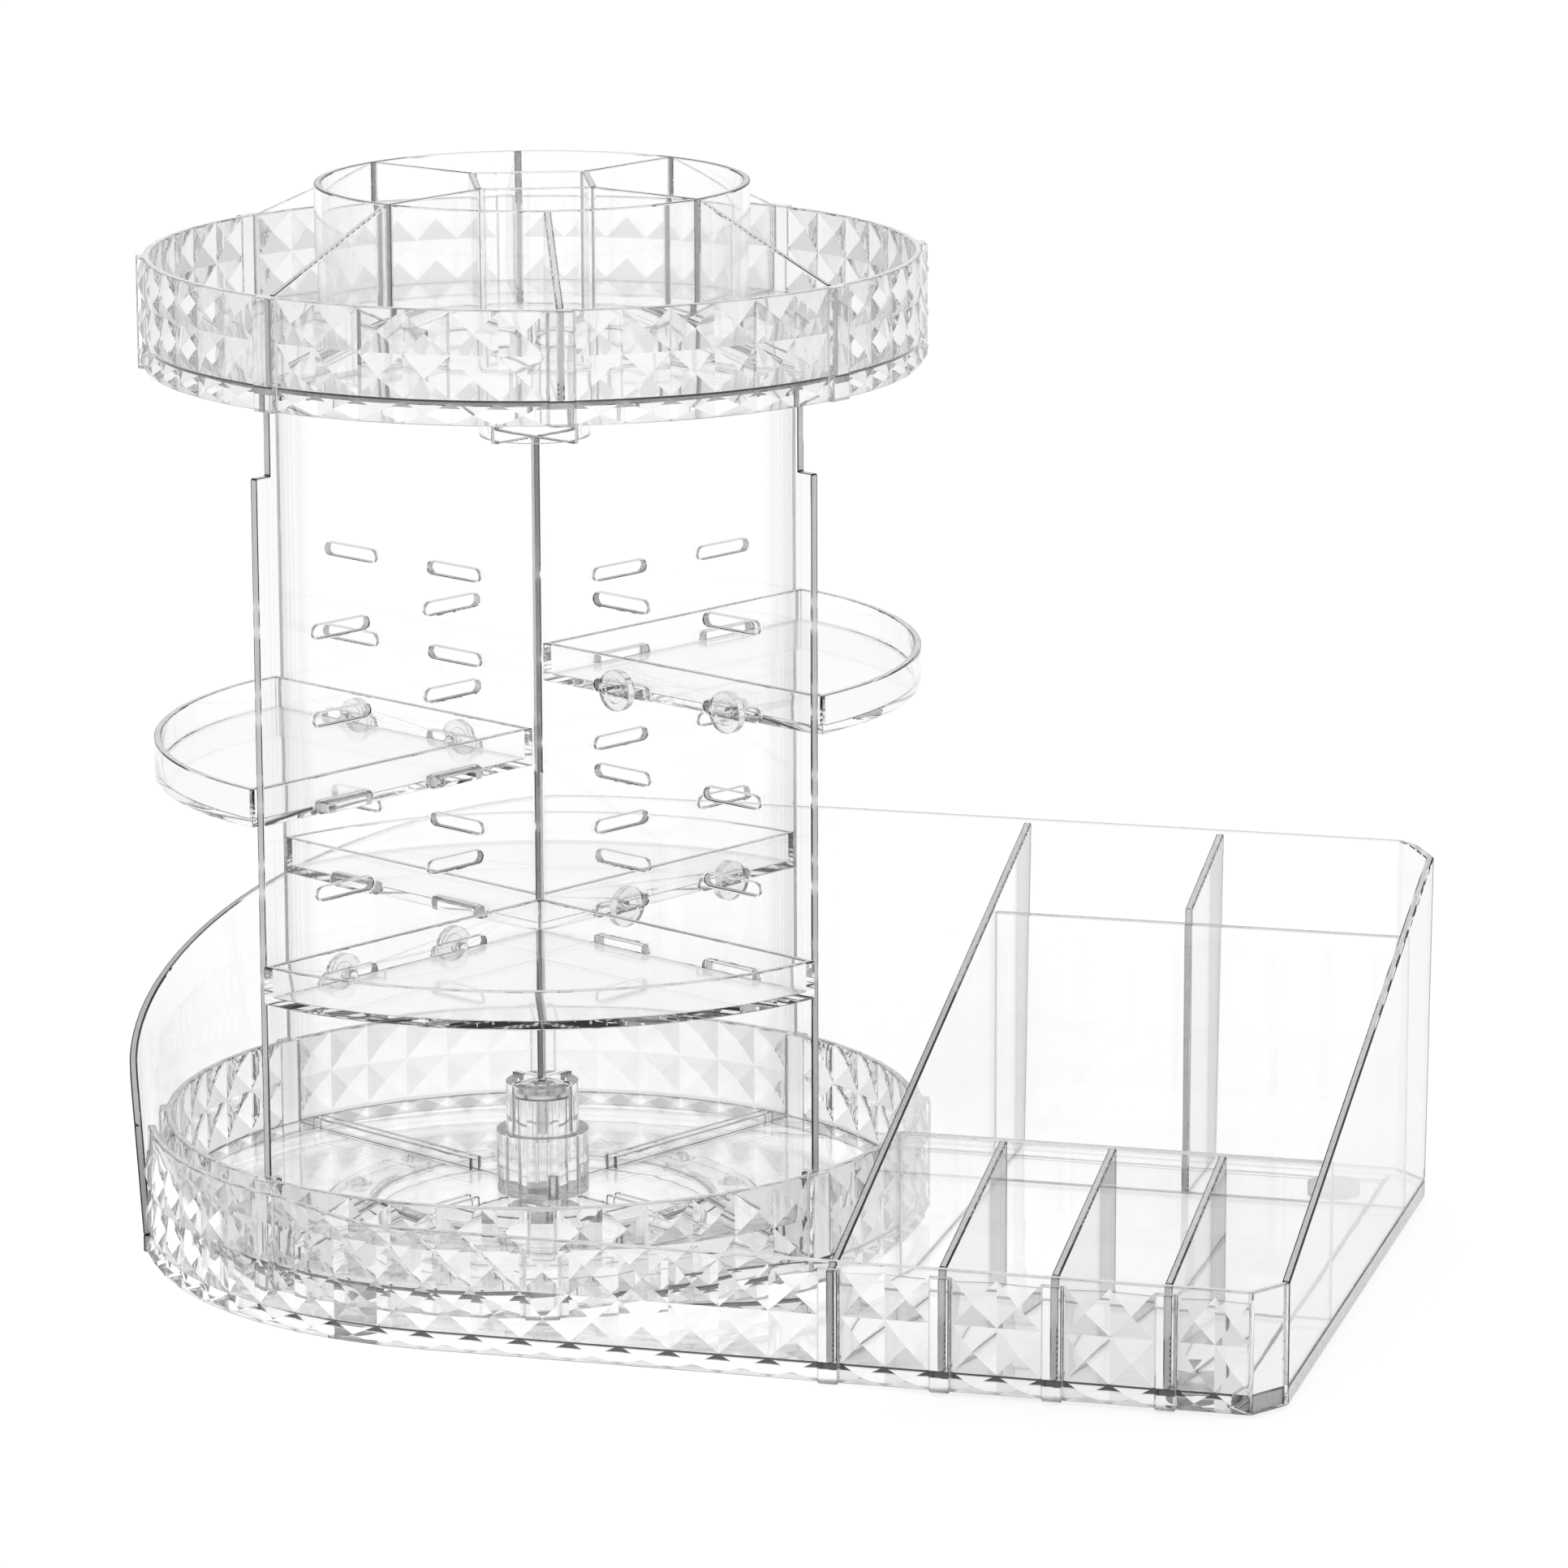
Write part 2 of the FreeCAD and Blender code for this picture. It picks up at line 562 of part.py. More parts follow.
def tall_outline(lean, z):
    """The tall wall's section, leaning out by the given amount, as a closed wire."""
    radius = base_radius + lean
    wall = value("base_wall")
    outside = [
        FreeCAD.Vector(reach - value("corner_length"), front_y, 0),
        FreeCAD.Vector(reach, -value(CORNER_Y), 0),
        FreeCAD.Vector(reach, radius - back_corner, 0),
        FreeCAD.Vector(reach - back_corner, radius, 0),
        FreeCAD.Vector(0, radius, 0),
    ]
    inside = inset(outside, wall)
    outside = outside[1:]
    inside = inside[1:]
    ends = (around(radius, start_angle), around(radius - wall, start_angle))
    middle = (90 + start_angle) / 2
    edges = [Part.LineSegment(a, b).toShape() for a, b in zip(outside, outside[1:])]
    edges.append(Part.Arc(outside[-1], around(radius, middle), ends[0]).toShape())
    edges.append(Part.LineSegment(*ends).toShape())
    edges.append(Part.Arc(ends[1], around(radius - wall, middle), inside[-1]).toShape())
    backwards = inside[::-1]
    edges += [Part.LineSegment(a, b).toShape() for a, b in zip(backwards, backwards[1:])]
    edges.append(Part.LineSegment(inside[0], outside[0]).toShape())
    wire = Part.Wire(edges)
    wire.translate(FreeCAD.Vector(0, 0, z))
    return wire


tall_blank = drawn("tall_blank", Part.makeLoft(
    [tall_outline(0, value(FLOOR)), tall_outline(value("back_flare"), value("back_height"))], True, True))
over_slope = plate("over_slope", "YZ_Plane", [
    (f"0 - {CORNER_Y} - corner_depth", slope_height(f"0 - {CORNER_Y} - corner_depth")),
    ("base_radius", "back_height"),
    ("base_radius", "2 * back_height"),
    (f"0 - {CORNER_Y} - corner_depth", "2 * back_height"),
], f"3 * {BOX_REACH}")
seat(over_slope, x=f"0 - 1.5 * {BOX_REACH}")
end_y = "(0 - base_radius * sin(tall_end_angle))"
past_end = f"({end_y} - base_radius / 4)"
round_y = f"({end_y} + tall_end_round)"
round_start = FreeCAD.Vector(0, value(round_y), value(slope_height(round_y)))
round_end = FreeCAD.Vector(0, value(end_y), value(BAND_TOP))
fall = round_start.z - round_end.z
round_middle = FreeCAD.Vector(0, round_end.y + value("tall_end_round") * 0.26, round_end.z + fall * 0.68)
rounding = [
    Part.Arc(round_start, round_middle, round_end).toShape(),
    Part.LineSegment(round_end, FreeCAD.Vector(0, value(past_end), round_end.z)).toShape(),
    Part.LineSegment(FreeCAD.Vector(0, value(past_end), round_end.z),
                     FreeCAD.Vector(0, value(past_end), value("2 * back_height"))).toShape(),
    Part.LineSegment(FreeCAD.Vector(0, value(past_end), value("2 * back_height")),
                     FreeCAD.Vector(0, round_start.y, value("2 * back_height"))).toShape(),
    Part.LineSegment(FreeCAD.Vector(0, round_start.y, value("2 * back_height")), round_start).toShape(),
]
drop_face = Part.Face(Part.Wire(rounding))
rounded_drop = drawn("rounded_drop", drop_face.extrude(FreeCAD.Vector(-value("2 * base_radius"), 0, 0)))
tall_wall = cut("tall_wall", tall_blank, fuse("tall_cuts", [over_slope, rounded_drop]))
nodes.append(on_base(tall_wall))


# Box: upright plates between the walls

def back_face(z):
    """Where the leaning inside of the back wall stands at a height."""
    return f"(base_radius - base_wall + back_flare * ({z} - {FLOOR}) / (back_height - {FLOOR}))"


FRONT_FACE = f"({VALLEY} - base_wall)"


def sloped_wall(name, front, back_low, back_high, top_front, top_back):
    return plate(name, "YZ_Plane", [
        (front, FLOOR),
        (back_low, FLOOR),
        (back_high, top_back),
        (front, top_front),
    ], "base_wall")


left_front = f"0 - {FRONT_FACE} + seam"
left_back = f"{back_face('back_height')} - seam"
box_left_wall = sloped_wall("box_left_wall", left_front, f"{back_face(FLOOR)} - seam", left_back,
                            slope_height(left_front), slope_height("base_radius - base_wall"))
nodes.append(on_base(box_left_wall, x=f"{BOX_LEFT} - base_wall / 2"))

box_left_face = f"({BOX_LEFT} + base_wall / 2 + seam)"
cross_length = f"{BOX_REACH} - base_wall - seam - {box_left_face}"
for name, y in (("box_back_cross_wall", BACK_CROSS), ("box_front_cross_wall", FRONT_CROSS)):
    height = f"{slope_height(y)} - cross_drop"
    cross_wall = plate(name, "XZ_Plane", [
        ("0", FLOOR),
        (cross_length, FLOOR),
        (cross_length, height),
        ("0", height),
    ], "base_wall")
    nodes.append(on_base(cross_wall, x=box_left_face, y=f"{y} + base_wall / 2"))

divider_front = f"{BACK_CROSS} + base_wall / 2 + seam"
box_back_divider = sloped_wall("box_back_divider", divider_front, f"{back_face(FLOOR)} - seam", left_back,
                               slope_height(divider_front), slope_height("base_radius - base_wall"))
nodes.append(on_base(box_back_divider, x=f"{BOX_LEFT} + divider_place - base_wall / 2"))

divider_back = f"{FRONT_CROSS} - base_wall / 2 - seam"
for bay in range(1, BAYS):
    divider = sloped_wall(f"box_front_divider_{bay}", left_front, divider_back, divider_back,
                          "front_height", f"{slope_height(FRONT_CROSS)} - cross_drop")
    nodes.append(on_base(divider, x=f"{BOX_LEFT} + {bay} * {BAY} - base_wall / 2"))


# Feet under the floor plate

foot_ring = f"({VALLEY} - foot_inset)"
foot_spots = []
for angle in (105, 180, 255):
    foot_spots.append((f"{foot_ring} * cos({angle})", f"{foot_ring} * sin({angle})"))
foot_spots.append((f"{HOLLOW_END} - foot_diameter", f"0 - {foot_ring}"))
foot_spots.append((f"{HOLLOW_END} - foot_diameter", foot_ring))
feet = []
for i, (x, y) in enumerate(foot_spots):
    feet.append(rod(f"base_foot_{i}", "foot_diameter / 2", "foot_height", x, y))
nodes.append(on_base(group("base_feet", feet)))


# Ball race

cage_middle = f"({FLOOR} + race_gap / 2)"
cage_body = turning("cage_blank", [
    ("race_radius - cage_width / 2", f"{cage_middle} - cage_height / 2"),
    ("race_radius + cage_width / 2", f"{cage_middle} - cage_height / 2"),
    ("race_radius + cage_width / 2", f"{cage_middle} + cage_height / 2"),
    ("race_radius - cage_width / 2", f"{cage_middle} + cage_height / 2"),
])
ball_radius = "((race_gap - ball_play) / 2)"
pockets = []
balls = []
for i in range(BALL_COUNT):
    pocket = rod(f"ball_pocket_{i}", f"{ball_radius} + cage_play", "race_gap", "race_radius", "0", FLOOR)
    pockets.append(turned(f"ball_pocket_turned_{i}", pocket, i * 360 / BALL_COUNT))
    ball = doc.addObject("Part::Sphere", f"ball_{i}")
    bind(ball, Radius=ball_radius)
    seat(ball, "race_radius", "0", cage_middle)
    balls.append(turned(f"ball_turned_{i}", ball, i * 360 / BALL_COUNT))
nodes.append(on_base(cut("bearing_cage", cage_body, fuse("ball_pockets", pockets))))
nodes.append(on_base(group("bearing_balls", balls)))


# Spindle, with its screw and washer

spindle = turning("spindle", [
    ("hub_screw_diameter / 2 + hole_play", FLOOR),
    ("spindle_flange / 2", FLOOR),
    ("spindle_flange / 2", f"{FLOOR} + spindle_flange_height"),
    ("spindle_diameter / 2", f"{FLOOR} + spindle_flange_height"),
    ("spindle_diameter / 2", SPINDLE_TOP),
    ("screw_diameter / 2 + hole_play", SPINDLE_TOP),
    ("screw_diameter / 2 + hole_play", f"{SPINDLE_TOP} - screw_length"),
    ("hub_screw_diameter / 2 + hole_play", f"{SPINDLE_TOP} - screw_length"),
])
nodes.append(on_base(spindle))

washer = turning("spindle_washer", [
    ("screw_diameter / 2 + hole_play", SPINDLE_TOP),
    ("washer_diameter / 2", SPINDLE_TOP),
    ("washer_diameter / 2", f"{SPINDLE_TOP} + washer_height"),
    ("screw_diameter / 2 + hole_play", f"{SPINDLE_TOP} + washer_height"),
])
nodes.append(on_base(washer))


def pan_head_screw(name, under, thread, length, head, head_height, up):
    """A screw on the axis whose head lies above or below its seat."""
    head_z = under if up else f"{under} - {head_height}"
    thread_z = f"{under} - {length}" if up else under
    recess_z = f"{under} + {head_height} - driver_depth" if up else f"{under} - {head_height}"
    screw = fuse(f"{name}_solid", [
        rod(f"{name}_head", f"{head} / 2", head_height, z=head_z),
        rod(f"{name}_thread", f"{thread} / 2", length, z=thread_z),
    ])
    recess = box(f"{name}_recess", "driver_width", "driver_width", "driver_depth",
                 "0 - driver_width / 2", "0 - driver_width / 2", recess_z)
    return cut(f"{name}_cut", screw, recess)


washer_top = f"({SPINDLE_TOP} + washer_height)"
top_screw_length = "screw_length + washer_height - 2 * hole_play"
top_screw = pan_head_screw("top_screw", washer_top, "screw_diameter", top_screw_length,
                           "screw_head", "screw_head_height", True)
nodes.append(on_base(group("spindle_screw", [top_screw])))
foot_screw = pan_head_screw("foot_screw", "foot_height", "hub_screw_diameter", "hub_screw_length",
                            "hub_screw_head", "hub_screw_head_height", False)
nodes.append(on_base(group("spindle_foot_screw", [foot_screw])))


# Turning tray and hub

turn_disc = drawn("turn_disc", faceted_disc(
    value(TURN_RADIUS), value("facet_depth"), value("top_pilaster"),
    [value(f"{TURN_UNDER} - turn_skirt"), value(TURN_FLOOR), value(f"{TURN_FLOOR} + turn_rim_height / 2"),
     value(TURN_RIM)]))
turn_bore = rod("turn_bore", TURN_INNER, "turn_skirt + tray_floor + turn_rim_height",
                z=f"{TURN_UNDER} - turn_skirt")
nodes.append(on_tower(cut("bottom_tray_rim", turn_disc, turn_bore)))
turn_plate = rod("turn_plate", f"{TURN_INNER} - seam", "tray_floor", z=TURN_UNDER)
spindle_way = rod("spindle_way", "spindle_diameter / 2 + collar_play", "2 * tray_floor",
                  z=f"{TURN_UNDER} - tray_floor / 2")
hub_holes = [spindle_way]
for i in range(HUB_SCREWS):
    hole = rod(f"hub_hole_{i}", "hub_screw_diameter / 2 + hole_play", "2 * tray_floor",
               "hub_screw_circle", "0", f"{TURN_UNDER} - tray_floor / 2")
    hub_holes.append(turned(f"hub_hole_turned_{i}", hole, i * 360 / HUB_SCREWS))
nodes.append(on_tower(cut("bottom_tray", turn_plate, fuse("hub_holes", hub_holes))))
nodes.append(on_tower(group("bottom_tray_ribs", channels("turn", BOARD_LOW_REACH, TURN_FLOOR))))

hub_blank = turning("hub_blank", [
    ("spindle_diameter / 2 + spindle_play", TURN_FLOOR),
    ("hub_low_diameter / 2", TURN_FLOOR),
    ("hub_low_diameter / 2", f"{TURN_FLOOR} + hub_low_height"),
    ("hub_top_diameter / 2", f"{TURN_FLOOR} + hub_low_height"),
    ("hub_top_diameter / 2", HUB_TOP),
    ("washer_diameter / 2 + collar_play", HUB_TOP),
    ("washer_diameter / 2 + collar_play", SHOULDER),
    ("spindle_diameter / 2 + spindle_play", SHOULDER),
])
hub_bores = []
hub_screws = []
for i in range(HUB_SCREWS):
    bore = rod(f"hub_bore_{i}", "hub_screw_diameter / 2 + hole_play",
               "hub_screw_length - tray_floor + hole_play", "hub_screw_circle", "0", TURN_FLOOR)
    hub_bores.append(turned(f"hub_bore_turned_{i}", bore, i * 360 / HUB_SCREWS))
    screw = pan_head_screw(f"hub_screw_{i}", TURN_UNDER, "hub_screw_diameter", "hub_screw_length",
                           "hub_screw_head", "hub_screw_head_height", False)
    moved = seat(group(f"hub_screw_moved_{i}", [screw]), "hub_screw_circle")
    hub_screws.append(turned(f"hub_screw_turned_{i}", moved, i * 360 / HUB_SCREWS))
nodes.append(on_tower(cut("hub", hub_blank, fuse("hub_bores", hub_bores))))
nodes.append(on_tower(group("hub_screws", hub_screws)))


# Crossed boards

hub_low = "(hub_low_diameter / 2 + collar_play)"
hub_top = "(hub_top_diameter / 2 + collar_play)"
low_step = f"({TURN_FLOOR} + hub_low_height + collar_play)"
top_step = f"({HUB_TOP} + collar_play)"
collar = "(collar_diameter / 2 + collar_play)"
half_slit = "(board_thickness / 2 + board_play)"
crossing = f"({TURN_FLOOR} + board_height / 2)"
high_step = f"({BOARD_TOP} - board_top_step)"
right_side = [
    (hub_low, TURN_FLOOR),
    (BOARD_LOW_REACH, TURN_FLOOR),
    (BOARD_LOW_REACH, TURN_RIM),
    (BOARD_REACH, TURN_RIM),
    (BOARD_REACH, high_step),
    (BOARD_TOP_REACH, high_step),
    (BOARD_TOP_REACH, BOARD_TOP),
    (collar, BOARD_TOP),
    (collar, NOTCH_BOTTOM),
]
hub_notch = [
    (hub_low, low_step),
    (hub_top, low_step),
    (hub_top, top_step),
]


def mirrored(points):
    return [(f"0 - {x}", z) for x, z in reversed(points)]


slit_down = [(half_slit, NOTCH_BOTTOM), (half_slit, crossing)]
slit_up = [(half_slit, crossing), (half_slit, top_step)]
notch_left = mirrored(hub_notch[::-1])
notch_right = hub_notch[::-1]
outline_a = right_side + slit_down + mirrored(slit_down) + mirrored(right_side) + notch_left + notch_right
outline_b = right_side + mirrored(right_side) + notch_left + mirrored(slit_up) + slit_up + notch_right

for name, outline, angle in (("cross_panel_a", outline_a, "0"), ("cross_panel_b", outline_b, "90")):
    board = plate(f"{name}_board", "XZ_Plane", outline, "board_thickness")
    slots = new_sketch(board, f"{name}_slots", "XZ_Plane")
    for x in (f"0 - {SLOT_FAR}", "0 - slot_near", "slot_near", SLOT_FAR):
        slot(slots, x, SLOT_FIRST, "slot_length", "slot_height")
    doc.recompute()
    plain_volume = board.Shape.Volume
    pocket = board.newObject("PartDesign::Pocket", f"{name}_slot_row")
    pocket.Profile = slots
    pocket.Reversed = True
    bind(pocket, Length="2 * board_thickness")
    rows = board.newObject("PartDesign::LinearPattern", f"{name}_slot_rows")
    rows.Originals = [pocket]
    rows.Direction = (slots, ["V_Axis"])
    rows.Occurrences = ROW_COUNT
    bind(rows, Length=f"{ROW_COUNT - 1} * slot_pitch")
    board.Tip = rows
    doc.recompute()
    slot_area = value("(slot_length - slot_height) * slot_height + pi * slot_height * slot_height / 4")
    lost = plain_volume - board.Shape.Volume
    expected = 4 * ROW_COUNT * slot_area * value("board_thickness")
    if abs(lost - expected) > expected / 1000:
        raise RuntimeError(f"{name}: the slots took {lost:.1f} and not {expected:.1f}")
    shifted = seat(group(f"{name}_centred", [board]), y="board_thickness / 2")
    nodes.append(on_tower(group(name, [shifted]), angle))


# Quarter-round shelves, each with two tabs in one board and two thumb screws through the other

SHELVES = (("shelf_rear", 0, 0), ("shelf_left", 1, 2), ("shelf_front", 2, 0), ("shelf_right", 3, 3))
TAB_WIDTH = "(slot_length - slot_height - 2 * board_play)"
THUMB_SHANK = "(slot_height - 2 * shelf_play)"
thumb_screws = []
for name, quarter, row in SHELVES:
    level = f"({SLOT_FIRST} + {row} * slot_pitch)"
    under = f"({level} - shelf_rise)"
    corner = "(board_thickness / 2 + shelf_play)"
    outside = common(f"{name}_outside", [
        rod(f"{name}_disc", SHELF_RADIUS, "shelf_height", z=under),
        box(f"{name}_quarter", SHELF_RADIUS, SHELF_RADIUS, "shelf_height", corner, corner, under),
    ])
    inside = common(f"{name}_inside", [
        rod(f"{name}_bowl_disc", f"{SHELF_RADIUS} - shelf_wall", "shelf_height", z=f"{under} + shelf_wall"),
        box(f"{name}_bowl_quarter", SHELF_RADIUS, SHELF_RADIUS, "shelf_height",
            f"{corner} + shelf_wall", f"{corner} + shelf_wall", f"{under} + shelf_wall"),
    ])
    tabs = []
    holes = []
    for spot, along in (("near", "slot_near"), ("far", SLOT_FAR)):
        tabs.append(box(f"{name}_tab_{spot}", f"{corner} + board_thickness / 2 + tab_tip + shelf_wall / 2",
                        TAB_WIDTH, "slot_height - 2 * board_play", "0 - board_thickness / 2 - tab_tip",
                        f"{along} - {TAB_WIDTH} / 2", f"{level} - slot_height / 2 + board_play"))
        holes.append(cross_rod(f"{name}_hole_{spot}", f"{THUMB_SHANK} / 2 + hole_play",
                               "shelf_wall + shelf_play", along, "board_thickness / 2", level))
        head = cross_rod(f"{name}_head_{spot}", "thumb_diameter / 2", "thumb_height", along,
                         "0 - board_thickness / 2 - thumb_height", level)
        shank = cross_rod(f"{name}_shank_{spot}", f"{THUMB_SHANK} / 2",
                          "thumb_height / 2 + board_thickness + shelf_play + shelf_wall", along,
                          "0 - board_thickness / 2 - thumb_height / 2", level)
        dish = cross_rod(f"{name}_dish_{spot}", "thumb_recess / 2", "thumb_recess_depth", along,
                         "0 - board_thickness / 2 - thumb_height", level)
        screw = cut(f"{name}_thumb_{spot}", fuse(f"{name}_thumb_solid_{spot}", [head, shank]), dish)
        thumb_screws.append(turned(f"{name}_thumb_turned_{spot}", screw, quarter * 90))
    pan = cut(f"{name}_pan", outside, inside)
    shelf = cut(name, fuse(f"{name}_tabbed", [pan] + tabs), fuse(f"{name}_holes", holes))
    nodes.append(on_tower(shelf, f"{quarter} * 90"))
nodes.append(on_tower(group("shelf_screws", thumb_screws)))


# Top tray with its collar, ring, tube and walls

top_disc = drawn("top_disc", faceted_disc(
    value(TOP_RADIUS), value("facet_depth"), value("top_pilaster"),
    [value(f"{BOARD_TOP} - top_skirt"), value(TOP_FLOOR), value(f"{TOP_FLOOR} + top_rim_height / 2"),
     value(TOP_RIM)]))
top_bore = rod("top_bore", TOP_INNER, "top_skirt + tray_floor + top_rim_height", z=f"{BOARD_TOP} - top_skirt")
nodes.append(on_tower(cut("top_tray_rim", top_disc, top_bore), "tray_angle"))
top_plate = rod("top_plate", f"{TOP_INNER} - seam", "tray_floor", z=BOARD_TOP)
nodes.append(on_tower(group("top_tray", [top_plate])))
top_ribs = channels("top", BOARD_TOP_REACH, f"{BOARD_TOP} - channel_height")
nodes.append(on_tower(group("top_tray_ribs", top_ribs)))

collar_bottom = f"{BOARD_TOP} - collar_height"
nodes.append(on_tower(turning("top_collar", [
    ("collar_diameter / 2 - ring_wall", collar_bottom),
    ("collar_diameter / 2", collar_bottom),
    ("collar_diameter / 2", BOARD_TOP),
    ("collar_diameter / 2 - ring_wall", BOARD_TOP),
])))
nodes.append(on_tower(turning("top_ring", [
    ("ring_radius - ring_wall", TOP_FLOOR),
    ("ring_radius", TOP_FLOOR),
    ("ring_radius", RING_TOP),
    ("ring_radius - ring_wall", RING_TOP),
])))


def rounded_post(name, width, corner, height, z):
    """A square post about the axis with rounded upright edges."""
    block = box(f"{name}_block", width, width, height, f"0 - {width} / 2", f"0 - {width} / 2", z)
    doc.recompute()
    rounded = doc.addObject("Part::Fillet", name)
    rounded.Base = block
    upright = [i for i, edge in enumerate(block.Shape.Edges, start=1)
               if abs(edge.Vertexes[0].Z - edge.Vertexes[-1].Z) > value(height) / 2]
    rounded.Edges = [(i, value(corner), value(corner)) for i in upright]
    return rounded


tube_outside = rounded_post("tube_outside", "tube_width", "tube_corner", "ring_height", TOP_FLOOR)
tube_inside = rounded_post("tube_inside", "(tube_width - 2 * ring_wall)", "(tube_corner - ring_wall)",
                           "ring_height", TOP_FLOOR)
tube_walls = cut("tube_walls", tube_outside, tube_inside)
nodes.append(on_tower(group("top_square_tube", [tube_walls]), "tray_angle + 45"))

tube_diagonal = "(tube_width * sqrt(2) / 2 - tube_corner * (sqrt(2) - 1))"
inner_walls = []
for i in range(4):
    wall = box(f"ring_wall_{i}", f"ring_radius - ring_wall - {tube_diagonal} - seam", "ring_wall",
               "ring_height", f"{tube_diagonal} + seam", "0 - ring_wall / 2", TOP_FLOOR)
    ring_inside = rod(f"ring_wall_reach_{i}", "ring_radius - ring_wall - seam", "ring_height", z=TOP_FLOOR)
    rounded = common(f"ring_wall_end_{i}", [wall, ring_inside])
    inner_walls.append(turned(f"ring_wall_turned_{i}", rounded, i * 90))
nodes.append(on_tower(group("top_ring_walls", inner_walls), "tray_angle"))

outer_walls = []
for i in (0, 1, 2, 4, 5, 6):
    wall = plate(f"outer_wall_{i}", "XZ_Plane", [
        ("ring_radius - ring_wall", TOP_FLOOR),
        (f"{TOP_INNER} - seam", TOP_FLOOR),
        (f"{TOP_INNER} - seam", TOP_RIM),
        ("ring_radius", RING_TOP),
        ("ring_radius - ring_wall", RING_TOP),
    ], "ring_wall")
    shifted = seat(group(f"outer_wall_centred_{i}", [wall]), y="ring_wall / 2")
    ring_space = rod(f"outer_wall_ring_{i}", "ring_radius + seam", "ring_height", z=TOP_FLOOR)
    trimmed = common(f"outer_wall_end_{i}", [
        cut(f"outer_wall_start_{i}", shifted, ring_space),
        rod(f"outer_wall_reach_{i}", f"{TOP_INNER} - seam", "ring_height", z=TOP_FLOOR),
    ])
    outer_walls.append(turned(f"outer_wall_turned_{i}", trimmed, i * 360 / SECTORS))
nodes.append(on_tower(group("top_outer_walls", outer_walls), "tray_angle"))


doc.recompute()
for thing in doc.Objects:
    if "Invalid" in thing.State or "Error" in thing.State:
        raise RuntimeError(f"{thing.Label} failed: {thing.State}")
for node in nodes:
    if node.Shape.isNull() or not node.Shape.isValid() or not node.Shape.Solids:
        raise RuntimeError(f"{node.Label} has no valid solid")
os.makedirs("parts", exist_ok=True)
for node in nodes:
    node.Shape.exportStep(f"parts/{node.Label}.step")
print(len(nodes), "pieces")
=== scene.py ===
import json
import math

import bpy
from mathutils import Matrix, Vector
from mathutils.bvhtree import BVHTree


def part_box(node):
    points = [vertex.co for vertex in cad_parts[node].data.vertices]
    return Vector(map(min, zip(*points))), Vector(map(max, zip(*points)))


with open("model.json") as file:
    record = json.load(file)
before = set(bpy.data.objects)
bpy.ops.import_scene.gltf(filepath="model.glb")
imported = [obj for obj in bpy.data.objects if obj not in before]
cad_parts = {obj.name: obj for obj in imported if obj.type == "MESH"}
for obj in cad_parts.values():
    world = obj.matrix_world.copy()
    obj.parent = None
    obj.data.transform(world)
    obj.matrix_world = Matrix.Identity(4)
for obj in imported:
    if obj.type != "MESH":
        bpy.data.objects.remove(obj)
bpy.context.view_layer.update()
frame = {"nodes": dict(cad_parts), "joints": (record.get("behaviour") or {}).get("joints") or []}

# Lengths are metres in the part's own frame: +X to the box end, +Y to the back, +Z up

nodes = frame["nodes"]
axis = Vector(frame["joints"][0]["pos_m"])
box_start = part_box("box_left_wall")[1][0]
scene = bpy.context.scene
scene.view_settings.view_transform = "Standard"
scene.cycles.max_bounces = 28
scene.cycles.transmission_bounces = 28
scene.cycles.glossy_bounces = 16
scene.cycles.diffuse_bounces = 1
scene.cycles.blur_glossy = 0.3


# Camera at the photograph's angle

YAW = math.radians(15.16)
PITCH = math.radians(12.90)
ROLL = math.radians(-0.17)
CAMERA_PLACE = (0.5541, -1.9936, 0.6195)
LENS_MM = 163.4
SENSOR_MM = 36.0
SHIFT = (-0.0038, -0.0009)
NEAREST, FARTHEST = 0.05, 60.0
forward = Vector((-math.sin(YAW) * math.cos(PITCH), math.cos(YAW) * math.cos(PITCH), -math.sin(PITCH)))
level = Vector((math.cos(YAW), math.sin(YAW), 0.0))
upward = level.cross(forward)
right = math.cos(ROLL) * level + math.sin(ROLL) * upward
up = math.cos(ROLL) * upward - math.sin(ROLL) * level
turn = Matrix((right, up, -forward)).transposed()
lens = bpy.data.cameras.new("photo_camera")
lens.lens = LENS_MM
lens.sensor_width = SENSOR_MM
lens.shift_x, lens.shift_y = SHIFT
lens.clip_start = NEAREST
lens.clip_end = FARTHEST
camera = bpy.data.objects.new("photo_camera", lens)
camera.matrix_world = Matrix.Translation(CAMERA_PLACE) @ turn.to_4x4()
scene.collection.objects.link(camera)
scene.camera = camera


# Node helpers

EVEN = (1.0, 1.0, 1.0)
NOISE_LOW, NOISE_HIGH = 0.3, 0.7


def new_material(name):
    material = bpy.data.materials.new(name)
    material.use_nodes = True
    tree = material.node_tree
    return material, tree, tree.nodes["Principled BSDF"]


def put(tree, kind, **settings):
    node = tree.nodes.new(kind)
    for key, setting in settings.items():
        setattr(node, key, setting)
    return node


def noise(tree, scale, detail, stretch=EVEN):
    """A noise over the piece's own coordinates, drawn out along an axis where stretch is small."""
    place = put(tree, "ShaderNodeTexCoord")
    mapping = put(tree, "ShaderNodeMapping")
    mapping.inputs["Scale"].default_value = stretch
    texture = put(tree, "ShaderNodeTexNoise")
    texture.inputs["Scale"].default_value = scale
    texture.inputs["Detail"].default_value = detail
    tree.links.new(place.outputs["Object"], mapping.inputs["Vector"])
    tree.links.new(mapping.outputs["Vector"], texture.inputs["Vector"])
    return texture.outputs["Fac"]


